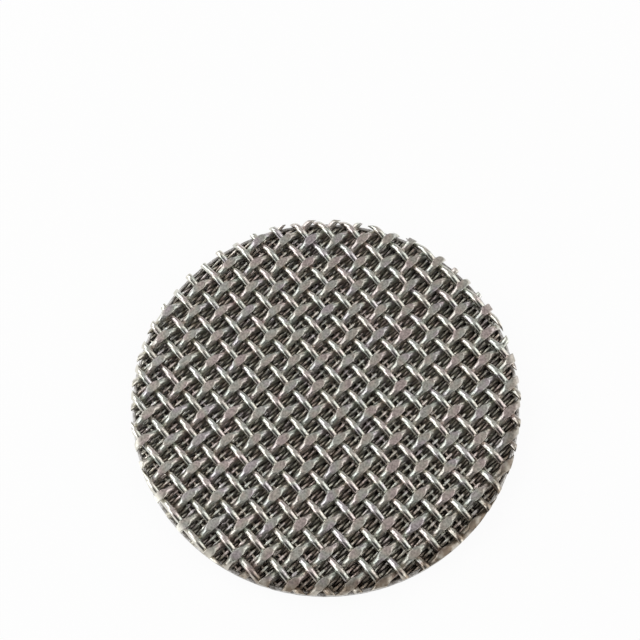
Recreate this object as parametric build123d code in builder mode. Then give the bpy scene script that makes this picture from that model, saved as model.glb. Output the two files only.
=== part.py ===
from build123d import *
from math import ceil, floor, radians, sqrt, tan
import os

os.makedirs("parts", exist_ok=True)

# A sintered wire mesh filter disc: five woven stainless steel cloths, pressed, diffusion bonded in
# a vacuum furnace and cut to a round blank. It lies with its fine face down on Z = 0, and the
# coarse support cloth is on top. All lengths are in millimetres and all angles in degrees.

disc_diameter = 50.0

# The three fine cloths, from the fine face up. Their wires are a tenth of a millimetre thick and
# less, so each cloth is a plain sheet here
protective_thickness = 0.20
filter_thickness = 0.10
dispersion_thickness = 0.20

# The reinforcing cloth is a plain Dutch weave: its thin weft wires lie side by side, 61 to the
# inch, and their backs make the close ridges at the bottom of the coarse openings. It was laid
# under the support cloth by hand, so its ridges run at a slight turn from the support weft
reinforcing_thickness = 0.80
dutch_weft_pitch = 0.415
dutch_weft_shift = 0.105
dutch_turn = 0.9
dutch_ridge_height = 0.16
dutch_trim_sides = 60

# The support cloth is a plain weave of thick wires. Each wire is six-sided here, with one corner
# up and one down, so that two wires that cross bear on each other corner to corner. The flanks
# beside those corners slope more steeply than any wire climbs, which keeps the rest of them apart
support_wire = 0.90
support_flank_slope = 35.0
support_warp_pitch = 2.65
support_weft_pitch = 2.34
support_warp_crimp = 0.30

# The support weft runs at this angle from +X. The shifts say how far from the centre the wires
# nearest to it lie
weave_angle = 40.0
support_warp_shift = -0.19
support_weft_shift = 1.25

# Sizes that follow from those above. A warp wire's crest and a weft wire's trough share each
# crossing, so their crimps add up to the height of one wire. The press comes down on the weft's
# knuckles and flattens them until it meets the warp's, so those set the thickness
disc_radius = disc_diameter / 2
half_wire = support_wire / 2
half_side = half_wire - half_wire * tan(radians(support_flank_slope))
support_weft_crimp = support_wire - support_warp_crimp
support_thickness = 2 * (support_warp_crimp + half_wire)

filter_level = protective_thickness
dispersion_level = filter_level + filter_thickness
reinforcing_level = dispersion_level + dispersion_thickness
support_level = reinforcing_level + reinforcing_thickness
support_middle = support_level + support_thickness / 2

weave = Plane.XY.rotated((0, 0, weave_angle))
dutch_weave = Plane.XY.rotated((0, 0, weave_angle + dutch_turn))


def finish(piece, name):
    """Label a finished piece and write its file."""
    piece.part.label = name
    export_step(piece.part, f"parts/{name}.step")


def fine_cloth(name, level, thickness):
    """One fine cloth: a flat round sheet."""
    with BuildPart() as cloth:
        with BuildSketch(Plane.XY.offset(level)):
            Circle(disc_radius)
        extrude(amount=thickness)
    finish(cloth, name)


def wires_across(shift, pitch, reach):
    """Number and place of each wire of a set, out to the first one past the reach."""
    first = floor((-reach - shift) / pitch)
    last = ceil((reach - shift) / pitch)
    return [(number, shift + number * pitch) for number in range(first, last + 1)]


def half_chord(distance):
    """Half the width of the disc, measured along a line that passes its centre at a distance."""
    return sqrt(max(disc_radius**2 - distance**2, 0))


def crimped_wire(name, along, across, offset, crests, troughs, pitch, crimp, half_height):
    """One wire of the support cloth, at an offset across the cloth.

    It runs straight down from each crest to the next trough, and up again from there. Its ends
    are cut straight where it meets the rim, and flat presses trim what stands more than the half
    height from the middle of the cloth.
    """
    with BuildPart() as wire:
        for places, height in ((crests, crimp), (troughs, -crimp)):
            for place in places:
                centre = along * place + across * offset + Vector(0, 0, support_middle + height)
                with BuildSketch(Plane(origin=centre, x_dir=across, z_dir=along)):
                    Polygon(
                        (0, half_wire),
                        (half_wire, half_side),
                        (half_wire, -half_side),
                        (0, -half_wire),
                        (-half_wire, -half_side),
                        (-half_wire, half_side),
                        align=None,
                    )
            slope = along * pitch - Vector(0, 0, 2 * height)
            extrude(amount=slope.length, dir=slope)
        right = offset + half_wire
        left = offset - half_wire
        with BuildSketch(Plane((0, 0, support_middle), x_dir=across, z_dir=(0, 0, 1))):
            Polygon(
                (right, -half_chord(right)),
                (right, half_chord(right)),
                (left, half_chord(left)),
                (left, -half_chord(left)),
                align=None,
            )
        extrude(amount=half_height, both=True, mode=Mode.INTERSECT)
    finish(wire, name)


def wire_set(label, along, across, own, crossed, crimp, upper_parity, half_height):
    """All the parallel wires of the support cloth whose full width lies inside the rim.

    own and crossed are the shift and pitch of this set and of the set that it is woven through.
    A wire lies on top where its number and the crossed wire's number add up to the parity given.
    """
    kept = []
    for number, offset in wires_across(*own, disc_radius):
        if abs(offset) + half_wire < disc_radius:
            kept.append((number, offset))
    for count, (number, offset) in enumerate(kept, start=1):
        reach = half_chord(max(abs(offset) - half_wire, 0))
        crests = []
        troughs = []
        for crossed_number, place in wires_across(*crossed, reach)[:-1]:
            on_top = (number + crossed_number) % 2 == upper_parity
            (crests if on_top else troughs).append(place)
        name = f"{label}_{count:02d}"
        pitch = crossed[1]
        crimped_wire(name, along, across, offset, crests, troughs, pitch, crimp, half_height)


fine_cloth("protective_cloth", 0, protective_thickness)
fine_cloth("filter_cloth", filter_level, filter_thickness)
fine_cloth("dispersion_cloth", dispersion_level, dispersion_thickness)

# The reinforcing cloth: its profile is drawn across the ridges and run the whole width of the
# disc. Short straight cuts just inside the rim end the ridges, and the wall under them is round
dutch_wall = reinforcing_thickness - dutch_ridge_height
ridges = [place for _, place in wires_across(dutch_weft_shift, dutch_weft_pitch, disc_radius)]
profile = [(ridges[0] - dutch_weft_pitch / 2, 0)]
for place in ridges:
    profile.append((place - dutch_weft_pitch / 2, dutch_wall))
    profile.append((place, reinforcing_thickness))
profile.append((ridges[-1] + dutch_weft_pitch / 2, dutch_wall))
profile.append((ridges[-1] + dutch_weft_pitch / 2, 0))

with BuildPart() as reinforcing_cloth:
    across_ridges, along_ridges = dutch_weave.y_dir, dutch_weave.x_dir
    with BuildSketch(Plane((0, 0, reinforcing_level), x_dir=across_ridges, z_dir=along_ridges)):
        with BuildLine():
            Polyline(*profile, close=True)
        make_face()
    extrude(amount=disc_radius, both=True)
    with BuildSketch(Plane.XY.offset(reinforcing_level)):
        RegularPolygon(disc_radius, dutch_trim_sides)
    extrude(amount=reinforcing_thickness, mode=Mode.INTERSECT)
    with BuildSketch(Plane.XY.offset(reinforcing_level)):
        Circle(disc_radius)
    extrude(amount=dutch_wall)
finish(reinforcing_cloth, "reinforcing_cloth")

warp = (support_warp_shift, support_warp_pitch)
weft = (support_weft_shift, support_weft_pitch)
press = support_thickness / 2
untouched = support_warp_crimp + support_wire
wire_set("support_warp", weave.y_dir, weave.x_dir, warp, weft, support_warp_crimp, 1, untouched)
wire_set("support_weft", weave.x_dir, weave.y_dir, weft, warp, support_weft_crimp, 0, press)
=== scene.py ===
import math

import bpy
import numpy as np
from mathutils import Matrix, Vector


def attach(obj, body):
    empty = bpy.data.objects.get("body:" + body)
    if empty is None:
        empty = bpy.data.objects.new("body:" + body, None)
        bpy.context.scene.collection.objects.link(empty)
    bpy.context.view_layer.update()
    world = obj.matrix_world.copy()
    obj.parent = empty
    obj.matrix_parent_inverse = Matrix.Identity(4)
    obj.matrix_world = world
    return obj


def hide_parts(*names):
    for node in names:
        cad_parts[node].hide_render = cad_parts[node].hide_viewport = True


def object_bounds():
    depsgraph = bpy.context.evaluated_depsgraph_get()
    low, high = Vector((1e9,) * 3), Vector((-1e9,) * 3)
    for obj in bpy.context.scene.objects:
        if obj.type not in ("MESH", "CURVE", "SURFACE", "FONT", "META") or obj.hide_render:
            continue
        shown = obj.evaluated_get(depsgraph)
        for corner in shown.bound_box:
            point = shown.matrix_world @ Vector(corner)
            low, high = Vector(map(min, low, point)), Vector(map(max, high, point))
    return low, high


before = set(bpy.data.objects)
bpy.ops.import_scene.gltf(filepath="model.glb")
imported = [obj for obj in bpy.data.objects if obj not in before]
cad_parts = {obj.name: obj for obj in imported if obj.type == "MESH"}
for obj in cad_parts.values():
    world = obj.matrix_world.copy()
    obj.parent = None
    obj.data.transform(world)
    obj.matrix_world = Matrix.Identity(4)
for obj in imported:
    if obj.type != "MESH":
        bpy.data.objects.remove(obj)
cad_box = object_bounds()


# The three fine cloths under the coarse ones: the protective, filter and dispersion cloths. They
# are woven of stainless steel wire a tenth of a millimetre thick and less, bonded into one sheet
# and cut round, so their rims show the ends of the wires in rows.

MM = 0.001
DISC_RADIUS = round(cad_box[1][0] / MM, 3)
WEAVE_ANGLE = math.radians(40.0)
RIM_STEPS = 720
ROUND = np.linspace(0, 2 * math.pi, RIM_STEPS, endpoint=False)


def grey(value):
    return (value, value, value, 1)


class Socket:
    """A socket of a shader node, which sums and products can be written with."""

    def __init__(self, finish, output):
        self.finish = finish
        self.output = output

    def math(self, operation, other=0.0):
        return self.finish.node("Math", {"operation": operation}, {0: self, 1: other})

    def wave(self, pitch):
        """A sine wave that is 0 at each multiple of a pitch."""
        return (self * (math.pi / pitch)).math("SINE")

    def __add__(self, other):
        return self.math("ADD", other)

    def __sub__(self, other):
        return self.math("SUBTRACT", other)

    def __rsub__(self, other):
        return self.finish.node("Math", {"operation": "SUBTRACT"}, {0: other, 1: self})

    def __mul__(self, other):
        return self.math("MULTIPLY", other)

    def __abs__(self):
        return self.math("ABSOLUTE")

    __radd__ = __add__
    __rmul__ = __mul__


class Finish:
    """The nodes of a material or of the world, each made by the one method."""

    def __init__(self, block):
        block.use_nodes = True
        self.block = block
        self.tree = block.node_tree
        self.tree.nodes.clear()

    def node(self, kind, settings=None, sockets=None, output=0):
        """Make a node: its settings first, then the values and links of its sockets.

        It gives the output asked for, or a list of them where a tuple is asked for.
        """
        made = self.tree.nodes.new("ShaderNode" + kind)
        for key, value in (settings or {}).items():
            if key == "stops":
                ramp = made.color_ramp.elements
                while len(ramp) < len(value):
                    ramp.new(0.5)
                for stop, (place, colour) in zip(ramp, value):
                    stop.position = place
                    stop.color = colour
            else:
                setattr(made, key, value)
        for key, value in (sockets or {}).items():
            if isinstance(value, Socket):
                self.tree.links.new(value.output, made.inputs[key])
            else:
                made.inputs[key].default_value = value
        if isinstance(output, tuple):
            return [Socket(self, made.outputs[key]) for key in output]
        return Socket(self, made.outputs[output]) if made.outputs else None

    def along_wires(self, turn, stretch=(1.0, 1.0, 1.0)):
        """Places on the object in millimetres, with X along wires that run at an angle."""
        place = self.node("TexCoord", output="Object")
        turned = self.node(
            "VectorRotate",
            {"rotation_type": "Z_AXIS", "invert": True},
            {"Vector": place, "Angle": turn},
        )
        scale = [part / MM for part in stretch]
        return self.node("VectorMath", {"operation": "MULTIPLY"}, {0: turned, 1: scale})

    def near_rim(self, inner, outer):
        """How near a place is to the rim: 0 inside one radius, 1 outside the other."""
        place = self.along_wires(0.0, (1.0, 1.0, 0.0))
        radius = self.node("VectorMath", {"operation": "LENGTH"}, {0: place}, "Value")
        return self.node("MapRange", {}, {"Value": radius, "From Min": inner, "From Max": outer})

    def towards(self, way, near, far):
        """0 on one side of the object and 1 on the other, along a way across it."""
        place = self.along_wires(0.0)
        along = self.node("VectorMath", {"operation": "DOT_PRODUCT"}, {0: place, 1: way}, "Value")
        return self.node("MapRange", {}, {"Value": along, "From Min": near, "From Max": far})

    def under_wires(self, turn, sets, drift, near, far):
        """How close a place lies under the wires of a weave: 1 near them and 0 far from them.

        Each of the two sets has the shift and pitch of its wires, and drift is added to the shift.
        """
        parts = self.node("SeparateXYZ", {}, {0: self.along_wires(turn)}, (0, 1))
        share = 0.0
        for part, (shift, pitch) in zip(parts, sets):
            aside = (part - (shift + drift)).math("PINGPONG", pitch / 2)
            close = self.node("MapRange", {}, {"Value": aside, "From Min": far, "From Max": near})
            share = close.math("MAXIMUM", share)
        return share

    def rays(self, *kinds):
        """1 for light paths of the kinds named, and 0 for the others."""
        found = self.node("LightPath", output=tuple(f"Is {kind} Ray" for kind in kinds))
        seen = found[0]
        for other in found[1:]:
            seen = seen.math("MAXIMUM", other)
        return seen

    def noise(self, place, scale, detail):
        return self.node("TexNoise", {}, {"Vector": place, "Scale": scale, "Detail": detail})

    def ramp(self, value, *stops):
        return self.node("ValToRGB", {"stops": stops}, {"Fac": value})

    def rise(self, value, low, high):
        """0 where a value is under one level and 1 where it is over the other."""
        return self.ramp(value, (low, grey(0)), (high, grey(1)))

    def mix(self, share, first, second, blend="MIX"):
        settings = {"data_type": "RGBA", "blend_type": blend}
        return self.node("Mix", settings, {0: share, 6: first, 7: second}, 2)

    def bump(self, height, distance, normal=None):
        sockets = {"Height": height, "Distance": distance * MM, "Strength": 1.0}
        if normal is not None:
            sockets["Normal"] = normal
        return self.node("Bump", {}, sockets)

    def metal(self, colour, roughness, relief):
        """Bare steel with a colour, roughness and relief."""
        sockets = {"Base Color": colour, "Roughness": roughness, "Metallic": 1.0, "Normal": relief}
        shader = self.node("BsdfPrincipled", {}, sockets)
        self.node("OutputMaterial", {}, {"Surface": shader})
        return self.block


def steel(name):
    return Finish(bpy.data.materials.new(name))


def mesh_piece(name, points, faces, materials, smooth, material_index=None):
    """A mesh object from points in millimetres."""
    mesh = bpy.data.meshes.new(name)
    mesh.from_pydata((np.asarray(points) * MM).tolist(), [], faces)
    for material in materials:
        mesh.materials.append(material)
    mesh.polygons.foreach_set("use_smooth", smooth)
    if material_index is not None:
        mesh.polygons.foreach_set("material_index", material_index)
    mesh.update()
    piece = bpy.data.objects.new(name, mesh)
    bpy.context.scene.collection.objects.link(piece)
    return piece


def seat(piece, node):
    """Fix a piece to the disc in place of the solid that it stands for."""
    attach(piece, "root")
    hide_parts(node)


def ring(radius, level):
    """Points round the disc, where the radius or the level may vary on the way."""
    level = np.broadcast_to(level, ROUND.shape)
    return list(zip(radius * np.cos(ROUND), radius * np.sin(ROUND), level))


def band(first, second):
    """Faces between two rings of points, which are counted from 0."""
    one, two = first * RIM_STEPS, second * RIM_STEPS
    faces = []
    for step in range(RIM_STEPS):
        after = (step + 1) % RIM_STEPS
        faces.append((one + step, one + after, two + after, two + step))
    return faces


def woven_face(name, pitch, turn, dark, pale):
    """Plain woven wire of one pitch, too fine to be modelled wire by wire."""
    finish = steel(name)
    place = finish.along_wires(turn)
    parts = finish.node("SeparateXYZ", {}, {0: place}, (0, 1))
    along, across = (part.wave(pitch) for part in parts)
    over = along * across * 0.5 + 0.5
    warp = abs(along) * over
    weft = abs(across) * (1.0 - over)
    height = warp.math("MAXIMUM", weft)
    speckle = finish.noise(place, scale=3.1, detail=3.0)
    # Painted shade: darker where the weave lies low, between its wires, with random speckle
    colour = finish.mix(height * 1.1 + speckle * 0.5 - 0.25, dark, pale)
    return finish.metal(colour, 0.5 - 0.15 * height, finish.bump(height, pitch * 0.3))


def cut_rim(name, pitch, dark, pale):
    """The rim of a fine cloth: cut wire ends in rows, a little smeared by the cut."""
    finish = steel(name)
    place = finish.along_wires(0.0)
    x, y, z = finish.node("SeparateXYZ", {}, {0: place}, (0, 1, 2))
    run = y.math("ARCTAN2", x) * DISC_RADIUS
    ends = abs(run.wave(pitch))
    rows = abs(z.wave(pitch * 0.45))
    blotches = finish.noise(place, scale=2.4, detail=4.0)
    height = ends * 0.5 + rows * 0.3 + blotches * 0.5
    # Painted shade: darker where the ends and rows lie low, between the wires, with random
    # blotches
    colour = finish.mix(finish.rise(height, 0.35, 0.9), dark, pale)
    return finish.metal(colour, 0.55 - 0.2 * blotches, finish.bump(height, 0.05))


def round_sheet(name, low, high, face, rim, node):
    """A round sheet with bevelled edges and a finely uneven rim, which keeps within the disc."""
    bevel_width = 0.05
    bevel_height = 0.02
    waves = np.sin(61 * ROUND + low) + np.sin(97 * ROUND + 3 * low)
    edge = DISC_RADIUS - 0.018 + 0.008 * waves
    points = ring(edge - bevel_width, low) + ring(edge, low + bevel_height)
    points += ring(edge, high - bevel_height) + ring(edge - bevel_width, high)
    bottom = len(points)
    top = bottom + 1
    points += [(0, 0, low), (0, 0, high)]
    walls = band(0, 1) + band(1, 2) + band(2, 3)
    lower_face = [(two, one, bottom) for one, two, _, _ in band(0, 1)]
    upper_face = [(one, two, top) for one, two, _, _ in band(3, 0)]
    kinds = [1] * len(walls) + [0] * (2 * RIM_STEPS)
    smooth = [kind == 1 for kind in kinds]
    faces = walls + lower_face + upper_face
    seat(mesh_piece(name, points, faces, [face, rim], smooth, kinds), node)


FINE_PALE = (0.62, 0.60, 0.57, 1)
FINE_DARK = (0.20, 0.19, 0.18, 1)
RIM_PALE = (0.60, 0.585, 0.57, 1)
RIM_DARK = (0.20, 0.18, 0.16, 1)

# Each cloth has its two levels, the pitch and angle of its wires, and the dark painted between
# them as shade
fine_cloths = (
    ("protective", 0.0, 0.2, 0.42, 47, FINE_DARK),
    ("filter", 0.2, 0.3, 0.12, 40, FINE_DARK),
    ("dispersion", 0.3, 0.5, 0.25, 40, RIM_DARK),
)
for kind, low, high, pitch, degrees, dark in fine_cloths:
    face = woven_face(f"{kind} cloth", pitch, math.radians(degrees), dark, FINE_PALE)
    rim = cut_rim(f"rim of {kind} cloth", pitch, RIM_DARK, RIM_PALE)
    round_sheet(f"{kind}_sheet", low, high, face, rim, f"{kind}_cloth")


# The reinforcing cloth: a plain Dutch weave. Its thin weft wires lie close beside each other over
# fewer warp wires, and the press has flattened their backs, which glint in the coarse openings.
# Each set of wires has its shift from the disc's middle and its pitch.

DUTCH_LOW = 0.5
DUTCH_HIGH = 1.3
DUTCH_TURN = WEAVE_ANGLE + math.radians(0.9)
DUTCH_LEAN = math.radians(2.0)
DUTCH_WEFT = (0.105, 0.415)
DUTCH_WARP = (1.762, 2.404)
DUTCH_WEFT_WIRE = 0.36
DUTCH_WARP_WIRE = 0.40
DUTCH_WEFT_CRIMP = 0.35
DUTCH_WARP_CRIMP = 0.03
DUTCH_WEFT_BEND = 0.6
DUTCH_WARP_BEND = 0.4
DUTCH_REACH = DISC_RADIUS - 0.05
DUTCH_THIRD = 7.5
SUPPORT_WARP = (-0.19, 2.65)
SUPPORT_WEFT = (1.25, 2.34)

# The press, in radii of the wire: how softly the flat begins in shape and in finish, and between
# which heights the steel gives way sideways
PRESS_SHOULDER = 0.10
PRESS_EDGE = 0.06
SPREAD_FROM = -0.6
SPREAD_TO = 0.7

# The punch that cut the disc has rolled the upper edges of the wires over, this far in from the
# rim. The drop grows with the square of the distance
ROLL_WIDTH = 0.8
ROLL_RATE = 0.45

# Half the length of the shortest line along a wire, where its section passes the rim
SHORTEST_REACH = 0.1


def bend(along, number, shift, pitch, crimp, bend_radius, parity):
    """Height of a woven wire's middle and how much its slope stretches it upright.

    It follows an arc over each wire that it crosses, and runs straight between the arcs. It lies
    on top where its number and the crossed wire's number add up to the parity.
    """
    station = np.rint((along - shift) / pitch)
    aside = np.abs(along - shift - station * pitch)
    sign = np.where((station + number) % 2 == parity, 1.0, -1.0)
    rise = 2 * (bend_radius - crimp)
    fall = math.asin(2 * bend_radius / math.hypot(pitch, rise)) - math.atan2(rise, pitch)
    arc = bend_radius * math.sin(fall)
    on_arc = bend_radius - np.sqrt(np.maximum(bend_radius**2 - aside**2, 0))
    on_line = bend_radius * (1 - math.cos(fall)) + (aside - arc) * math.tan(fall)
    drop = np.where(aside < arc, on_arc, on_line)
    steep = np.where(aside < arc, aside / bend_radius, math.sin(fall))
    return sign * (crimp - drop), 1 / np.sqrt(1 - steep**2)


def lower_of(first, second, softness):
    """The lower of two heights, with a soft shoulder where they meet."""
    share = np.clip(0.5 + 0.5 * (second - first) / softness, 0, 1)
    return second * (1 - share) + first * share - softness * share * (1 - share)


def pressed(lift, aside, rooms, extent, radius, spread):
    """Flatten a wire's section above and below, and spread it sideways where it is flattened.

    lift and aside say where its points lie from its middle, extent how far it stands up and down
    before, and rooms how far away the press is. The third result is 1 where a point is on a flat.
    """
    flat = np.zeros(lift.shape)
    for side, room in zip((1, -1), rooms):
        over = np.clip((extent - room) / radius, 0, 1)
        share = (side * lift / radius - SPREAD_FROM) / (SPREAD_TO - SPREAD_FROM)
        share = np.clip(share, 0, 1)
        aside = aside * (1 + spread * over * share * share * (3 - 2 * share))
        beyond = (side * lift - room) / (PRESS_EDGE * radius)
        flat = np.maximum(flat, np.clip(beyond + 0.5, 0, 1))
        lift = side * lower_of(side * lift, room, PRESS_SHOULDER * radius)
    return lift, aside, flat


def tube(points, mirrored):
    """Points, walls and end caps of a tube, from its rings of points.

    The caps have points of their own, which keeps the cuts sharp.
    """
    count, sides, _ = points.shape
    body = points.reshape(-1, 3)
    corner = np.arange(sides)
    after = (corner + 1) % sides
    one = (np.arange(count - 1) * sides)[:, None]
    two = one + sides
    walls = np.stack((one + corner, one + after, two + after, two + corner), -1).reshape(-1, 4)
    caps = []
    for end, order in ((0, -1), (-1, 1)):
        start = len(body)
        centre = start + sides
        body = np.concatenate((body, points[end], points[end].mean(0)[None, :]))
        edge = list(range(start, centre))[::order]
        caps += [(edge[i], edge[(i + 1) % sides], centre) for i in range(sides)]
    if mirrored:
        walls = walls[:, ::-1]
        caps = [cap[::-1] for cap in caps]
    return body, walls.tolist(), caps


def woven_wire(turn, mirrored, offset, path, wire, low, high, step, sides, spread, rim):
    """Points, faces and pressed shares of one wire, cut flush with the rim at both ends.

    path is what bend needs to know of the wire. Its offset is to the left of its way, or to the
    right where it is mirrored. The press stops at the two levels, and leaves it between them.
    """
    radius = wire / 2
    middle = (low + high) / 2
    around = 2 * math.pi * (np.arange(sides) + 0.5) / sides
    sideways = radius * np.cos(around)
    upright = radius * np.sin(around)
    reach = np.sqrt(np.maximum(rim**2 - (offset + sideways) ** 2, SHORTEST_REACH**2))
    count = max(6, int(round(2 * reach.max() / step)) + 1)
    along = np.linspace(-1, 1, count)[:, None] * reach[None, :]
    height, stretch = bend(along, *path)
    rooms = (high - middle - height, middle + height - low)
    lift, aside, flat = pressed(
        upright * stretch, sideways, rooms, radius * stretch, radius, spread
    )
    across = offset + aside
    far = np.hypot(along, across)
    pull = np.where(far > rim, rim / far, 1.0)
    rolled = ROLL_RATE * np.maximum(far * pull - rim + ROLL_WIDTH, 0) ** 2
    level = middle + height + lift - rolled * (0.5 + 0.5 * upright / radius)
    run = np.array((math.cos(turn), math.sin(turn)))
    beside = np.array((-run[1], run[0])) * (-1 if mirrored else 1)
    place = (along * pull)[..., None] * run + (across * pull)[..., None] * beside
    body, walls, caps = tube(np.concatenate((place, level[..., None]), axis=-1), mirrored)
    shares = np.concatenate((flat.ravel(), np.zeros(len(body) - flat.size)))
    return body, walls, caps, shares


def wire_piece(name, wires, materials):
    """One mesh from the parts of one or more wires; their cut ends take the second material."""
    points, faces, kinds, shares = [], [], [], []
    start = 0
    for body, walls, caps, flat in wires:
        points.append(body)
        faces += [tuple(start + i for i in face) for face in walls + caps]
        kinds += [0] * len(walls) + [1] * len(caps)
        shares.append(flat)
        start += len(body)
    smooth = [kind == 0 for kind in kinds]
    piece = mesh_piece(name, np.concatenate(points), faces, materials, smooth, kinds)
    attribute = piece.data.attributes.new("pressed", "FLOAT", "POINT")
    attribute.data.foreach_set("value", np.concatenate(shares).astype(np.float32))
    return piece


TINTS = (
    (0.34, (1.00, 0.90, 0.915, 1)),
    (0.46, (1.00, 0.975, 0.92, 1)),
    (0.56, (0.925, 0.995, 0.955, 1)),
    (0.68, (0.96, 0.92, 1.00, 1)),
)
# The colour of the painted shade in the pits and under the wires above
SHADE_COLOUR = (0.10, 0.084, 0.07, 1)
# The colour of the pale cut ends, with a painted highlight at the front left
FRESH_CUT_AND_HIGHLIGHT = (0.78, 0.755, 0.68, 1)
# The colour of the brown painted shade by the rim at the front right
BROWN_SHADE = (0.36, 0.30, 0.26, 1)


def worn(colour):
    """A darker shade of the same steel."""
    return tuple(0.58 * part for part in colour[:3]) + (1,)


def drawn_wire(name, turn, flat, rounded, flat_rough, round_rough, grain, dents, unshaded_level, above=()):
    """Drawn steel wire: fine lines along it, a faint tint, and satin flats where it is pressed.

    It has a colour and a roughness where it is flat and where it is round. grain is how fine its
    clouds are, and dents how deep its dents. Below a given level it is painted darker, as shade
    in the pits between the wires. A painted shadow also darkens it under the wires of a cloth
    above, where one is given, a little to one side of them.
    """
    finish = steel(name)
    place = finish.along_wires(turn)
    lines = finish.noise(finish.along_wires(turn, (0.35, 7.0, 7.0)), scale=1.0, detail=3.0)
    cloud = finish.noise(place, scale=grain, detail=4.0)
    bright = finish.rise(cloud, 0.36, 0.60)
    on_flat = finish.node("Attribute", {"attribute_name": "pressed"}, output="Fac")
    flat_colour = finish.mix(bright, worn(flat), flat)
    round_colour = finish.mix(bright, worn(rounded), rounded)
    tint = finish.ramp(finish.noise(place, scale=0.42, detail=1.0), *TINTS)
    colour = finish.mix(on_flat, round_colour, flat_colour)
    colour = finish.mix(1.0, colour, tint, "MULTIPLY")

    # Painted shade: lower down, in the pits between the wires, the steel is painted darker
    painted_shade = finish.towards((0, 0, 1), unshaded_level, unshaded_level - 0.35)
    if above:
        # Painted shadow of the support wires above, shifted a little to one side
        painted_shadow = finish.under_wires(WEAVE_ANGLE, above, drift=-0.15, near=0.45, far=0.85)
        painted_shade = painted_shade.math("MAXIMUM", 0.50 * painted_shadow)
    colour = finish.mix(painted_shade, colour, SHADE_COLOUR)

    # The ends by the rim are pale: freshly cut steel all round, and more so at the front left,
    # where the light from the left is painted on as a highlight. At the front right they are
    # painted darker and browner in patches by the rim, as painted shade
    front_left = finish.towards((-0.45, -0.89, 0), -20, 5)
    fresh_and_lit = finish.near_rim(24.0, 24.6) * (0.25 + 0.75 * front_left)
    colour = finish.mix(fresh_and_lit, colour, FRESH_CUT_AND_HIGHLIGHT)
    # Painted shade: darker brown patches by the rim at the front right
    front_right = finish.towards((0.42, -0.91, 0), 8, 18)
    patches = finish.noise(place, scale=0.9, detail=2.0)
    patches = finish.ramp(patches, (0.36, grey(0.5)), (0.58, grey(1)))
    painted_rim_shade = finish.near_rim(22.7, 24.2) * front_right * patches
    colour = finish.mix(painted_rim_shade, colour, BROWN_SHADE, "MULTIPLY")

    roughness = round_rough + (flat_rough - round_rough) * on_flat
    roughness = roughness + 0.10 * lines + 0.08 * cloud + 0.12 * painted_rim_shade
    relief = finish.bump(lines, 0.012)
    relief = finish.bump(cloud, 0.006, relief)
    relief = finish.bump(finish.noise(place, scale=2.6, detail=1.0), dents, relief)
    return finish.metal(colour, roughness, relief)


def cut_end(name, turn):
    """The flat cut through a wire: pale and matt, with a darker burr here and there."""
    finish = steel(name)
    cloud = finish.noise(finish.along_wires(turn), scale=5.0, detail=3.0)
    colour = finish.mix(cloud, (0.46, 0.43, 0.38, 1), (0.74, 0.72, 0.66, 1))
    return finish.metal(colour, 0.42 + 0.2 * cloud, finish.bump(cloud, 0.02))


def smeared_steel(name, dark, pale):
    """Steel that the cut has drawn over the wire ends, with upright drag marks."""
    finish = steel(name)
    upright = finish.along_wires(0.0, (1.0, 1.0, 0.12))
    drag = finish.noise(upright, scale=5.0, detail=3.0)
    stretched = finish.along_wires(0.0, (1.0, 1.0, 0.5))
    patch = finish.noise(stretched, scale=1.1, detail=2.0)
    marks = drag * 0.55 + patch * 0.45
    colour = finish.mix(finish.rise(marks, 0.36, 0.60), dark, pale)
    return finish.metal(colour, 0.62 - 0.30 * patch, finish.bump(marks, 0.05))


def places(shift, pitch, reach):
    """Number and place of each wire of a set within reach of the disc's middle."""
    first = math.ceil((-reach - shift) / pitch)
    last = math.floor((reach - shift) / pitch)
    return [(number, shift + number * pitch) for number in range(first, last + 1)]


def leaning(shift, pitch, offset):
    """Shift and pitch of a Dutch set where a wire at an offset crosses it, not quite squarely."""
    return shift + offset * math.tan(DUTCH_LEAN), pitch


dutch_steel = drawn_wire(
    "Dutch wire",
    DUTCH_TURN,
    flat=(1.00, 0.98, 0.94, 1),
    rounded=(0.92, 0.86, 0.78, 1),
    flat_rough=0.16,
    round_rough=0.20,
    grain=3.2,
    dents=0.09,
    unshaded_level=1.20,
    above=(SUPPORT_WARP, SUPPORT_WEFT),
)
dutch_materials = [dutch_steel, cut_end("cut ends of Dutch wire", DUTCH_TURN)]

# The weft is in three pieces, because in one it would have too many triangles
thirds = {"near": [], "middle": [], "far": []}
for number, offset in places(*DUTCH_WEFT, DISC_RADIUS - DUTCH_WEFT_WIRE / 2):
    made = woven_wire(
        DUTCH_TURN,
        False,
        offset,
        (number, *leaning(*DUTCH_WARP, offset), DUTCH_WEFT_CRIMP, DUTCH_WEFT_BEND, 0),
        wire=DUTCH_WEFT_WIRE,
        low=DUTCH_LOW,
        high=DUTCH_HIGH,
        step=0.22,
        sides=10,
        spread=0.1,
        rim=DUTCH_REACH,
    )
    third = "middle"
    if abs(offset) > DUTCH_THIRD:
        third = "far" if offset > 0 else "near"
    thirds[third].append(made)
for third, wires in thirds.items():
    piece = wire_piece(f"dutch_weft_{third}", wires, dutch_materials)
    seat(piece, "reinforcing_cloth")

wires = []
for number, offset in places(*DUTCH_WARP, DISC_RADIUS - DUTCH_WARP_WIRE / 2):
    made = woven_wire(
        DUTCH_TURN + math.pi / 2 - DUTCH_LEAN,
        True,
        offset,
        (number, *leaning(*DUTCH_WEFT, offset), DUTCH_WARP_CRIMP, DUTCH_WARP_BEND, 1),
        wire=DUTCH_WARP_WIRE,
        low=DUTCH_LOW,
        high=DUTCH_HIGH,
        step=0.2,
        sides=8,
        spread=0.5,
        rim=DUTCH_REACH,
    )
    wires.append(made)
seat(wire_piece("dutch_warp", wires, dutch_materials), "reinforcing_cloth")

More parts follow.
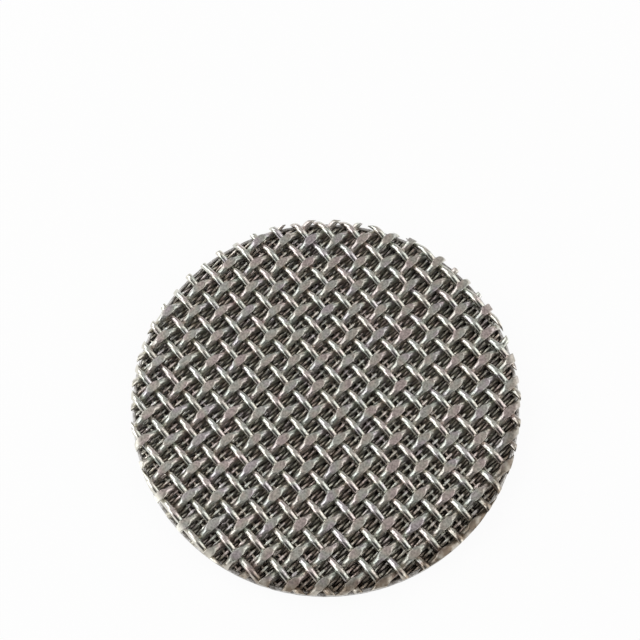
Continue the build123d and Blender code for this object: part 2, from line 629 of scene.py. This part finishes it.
# The cut has drawn the wires' ends into a thin ring. Its outer wall rises to a ragged edge, and
# rounds over from there to its highest line inside
SMEAR_WIDTH = 0.45
SMEAR_BEVEL = 0.12
SMEAR_WALL = 1.08
SMEAR_EDGE = 1.22
SMEAR_TOP = 1.24
ragged = 0.04 * np.sin(83 * ROUND) + 0.03 * np.sin(131 * ROUND + 2)
points = ring(DISC_RADIUS - SMEAR_WIDTH, DUTCH_LOW)
points += ring(DISC_RADIUS, DUTCH_LOW)
points += ring(DISC_RADIUS, SMEAR_WALL + 0.6 * ragged)
points += ring(DISC_RADIUS - SMEAR_BEVEL, SMEAR_EDGE + 0.6 * ragged)
points += ring(DISC_RADIUS - SMEAR_WIDTH, SMEAR_TOP + 0.3 * ragged)
flat_bands = band(0, 1) + band(4, 0)
round_bands = band(1, 2) + band(2, 3) + band(3, 4)
smooth = [False] * len(flat_bands) + [True] * len(round_bands)
smear = smeared_steel("smeared rim", RIM_DARK, RIM_PALE)
piece = mesh_piece("dutch_rim", points, flat_bands + round_bands, [smear], smooth)
seat(piece, "reinforcing_cloth")


# The support cloth: thick drawn wires, woven plain and bonded on top. The weft bends more than the
# warp, so the press comes down on the weft's knuckles, and flattens them to pointed ovals.

SUPPORT_LOW = DUTCH_HIGH
SUPPORT_HIGH = round(cad_box[1][2] / MM, 3)
SUPPORT_WIRE = 0.90
SUPPORT_WARP_CRIMP = 0.30
SUPPORT_WEFT_CRIMP = 0.60
SUPPORT_WARP_BEND = 2.0
SUPPORT_WEFT_BEND = 1.35

# Each set has its angle, whether its offsets are mirrored, its own shift and pitch, those that it
# crosses and how it bends over them, and the roughness of its round steel
warp_path = (*SUPPORT_WEFT, SUPPORT_WARP_CRIMP, SUPPORT_WARP_BEND, 1)
weft_path = (*SUPPORT_WARP, SUPPORT_WEFT_CRIMP, SUPPORT_WEFT_BEND, 0)
support_sets = (
    ("warp", WEAVE_ANGLE + math.pi / 2, True, SUPPORT_WARP, warp_path, 0.10),
    ("weft", WEAVE_ANGLE, False, SUPPORT_WEFT, weft_path, 0.26),
)
support_end = cut_end("cut ends of support wire", WEAVE_ANGLE)
for label, turn, mirrored, own, path, rough in support_sets:
    support_steel = drawn_wire(
        f"support {label} wire",
        turn,
        flat=(0.50, 0.465, 0.44, 1),
        rounded=(0.80, 0.78, 0.745, 1),
        flat_rough=0.42,
        round_rough=rough,
        grain=4.0,
        dents=0.010,
        unshaded_level=SUPPORT_LOW,
    )
    kept = places(*own, DISC_RADIUS - SUPPORT_WIRE / 2)
    for count, (number, offset) in enumerate(kept, start=1):
        made = woven_wire(
            turn,
            mirrored,
            offset,
            (number, *path),
            wire=SUPPORT_WIRE,
            low=SUPPORT_LOW,
            high=SUPPORT_HIGH,
            step=0.15,
            sides=20,
            spread=0.55,
            rim=DISC_RADIUS,
        )
        piece = wire_piece(f"round_{label}_{count:02d}", [made], [support_steel, support_end])
        seat(piece, f"support_{label}_{count:02d}")


# The studio: a white floor and backdrop, soft lamps above them, and the camera at the photograph's
# angle. The camera and the steel see the floor and backdrop as white, which adds no light.

bpy.ops.mesh.primitive_plane_add(size=40, location=(0, 0, -0.02 * MM))
floor = bpy.context.object
floor.name = "floor"
paper = Finish(bpy.data.materials.new("white paper"))
matt = paper.node("BsdfDiffuse", {}, {"Color": grey(0.9)})
glow = paper.node("Emission", {}, {"Color": grey(1), "Strength": 1.0})
# The floor's own shade is left in near the disc, for its shadow
glowing = 0.93 + 0.07 * paper.near_rim(60, 200)
seen = paper.rays("Camera", "Glossy", "Transmission") * glowing
shown = paper.node("MixShader", {}, {0: seen, 1: matt, 2: glow})
paper.node("OutputMaterial", {}, {"Surface": shown})
floor.data.materials.append(paper.block)

DARK_WAY = (-0.07, -0.78, 0.62)
world = Finish(bpy.data.worlds.new("studio"))
bpy.context.scene.world = world.block
way = world.node("TexCoord", output="Generated")
depth, height = world.node("SeparateXYZ", {}, {0: way}, (1, 2))
walls = world.ramp(0.5 + 0.5 * depth, (0.1, grey(0.44)), (0.6, grey(0.40)))
room = world.mix(world.rise(height, 0.35, 0.90), walls, (0.60, 0.585, 0.57, 1))
facing = world.node("VectorMath", {"operation": "DOT_PRODUCT"}, {0: way, 1: DARK_WAY}, "Value")
room = world.mix(world.rise(facing, 0.80, 0.93), room, (0.05, 0.048, 0.045, 1))
around = world.node("Background", {}, {"Color": room, "Strength": 1.0})
behind = world.node("Background", {}, {"Color": grey(1), "Strength": 1.0})
backdrop = world.ramp(height, (0.0, grey(1)), (0.25, grey(0)))
mirrored_backdrop = world.rays("Glossy", "Transmission") * backdrop
white = world.rays("Camera").math("MAXIMUM", mirrored_backdrop)
shown = world.node("MixShader", {}, {0: white, 1: around, 2: behind})
world.node("OutputWorld", {}, {"Surface": shown})

LAMP_DISTANCE = 0.6


def soft_box(name, azimuth, elevation, width, height, strength, colour):
    """A rectangular lamp that faces the disc, from a direction in degrees."""
    turn, up = math.radians(azimuth), math.radians(elevation)
    way = Vector((math.cos(turn) * math.cos(up), math.sin(turn) * math.cos(up), math.sin(up)))
    light = bpy.data.lights.new(name, "AREA")
    light.shape = "RECTANGLE"
    light.size = width
    light.size_y = height
    light.color = colour
    light.energy = strength * width * height * math.pi
    lamp = bpy.data.objects.new(name, light)
    lamp.location = way * LAMP_DISTANCE
    lamp.rotation_mode = "QUATERNION"
    lamp.rotation_quaternion = way.to_track_quat("Z", "Y")
    lamp.visible_camera = False
    bpy.context.scene.collection.objects.link(lamp)


soft_box("window", 151, 37, 0.44, 0.50, strength=1.9, colour=(0.97, 0.99, 1.0))
soft_box("low window", 203, 24, 0.32, 0.36, strength=2.35, colour=(0.96, 0.99, 1.0))
soft_box("screen", 8, 32, 0.50, 0.56, strength=1.02, colour=(0.99, 0.985, 0.955))
soft_box("low screen", 325, 18, 0.34, 0.34, strength=1.7, colour=(0.98, 0.985, 0.96))

CAMERA_PLACE = Vector((-0.406, -34.331, 109.591 + SUPPORT_HIGH)) * MM
CAMERA_PITCH = math.radians(68.03)
CAMERA_ROLL = math.radians(-1.741)
forward = Vector((0, math.cos(CAMERA_PITCH), -math.sin(CAMERA_PITCH)))
level_right = Vector((1, 0, 0))
level_up = level_right.cross(forward)
camera_right = level_right * math.cos(CAMERA_ROLL) + level_up * math.sin(CAMERA_ROLL)
camera_up = level_up * math.cos(CAMERA_ROLL) - level_right * math.sin(CAMERA_ROLL)
camera_data = bpy.data.cameras.new("camera")
camera_data.sensor_width = 36
camera_data.lens = 50.31
camera_data.clip_start = 0.005
camera = bpy.data.objects.new("camera", camera_data)
axes = Matrix((camera_right, camera_up, -forward)).transposed().to_4x4()
camera.matrix_world = Matrix.Translation(CAMERA_PLACE) @ axes
bpy.context.scene.collection.objects.link(camera)
bpy.context.scene.camera = camera
bpy.context.scene.view_settings.view_transform = "Standard"
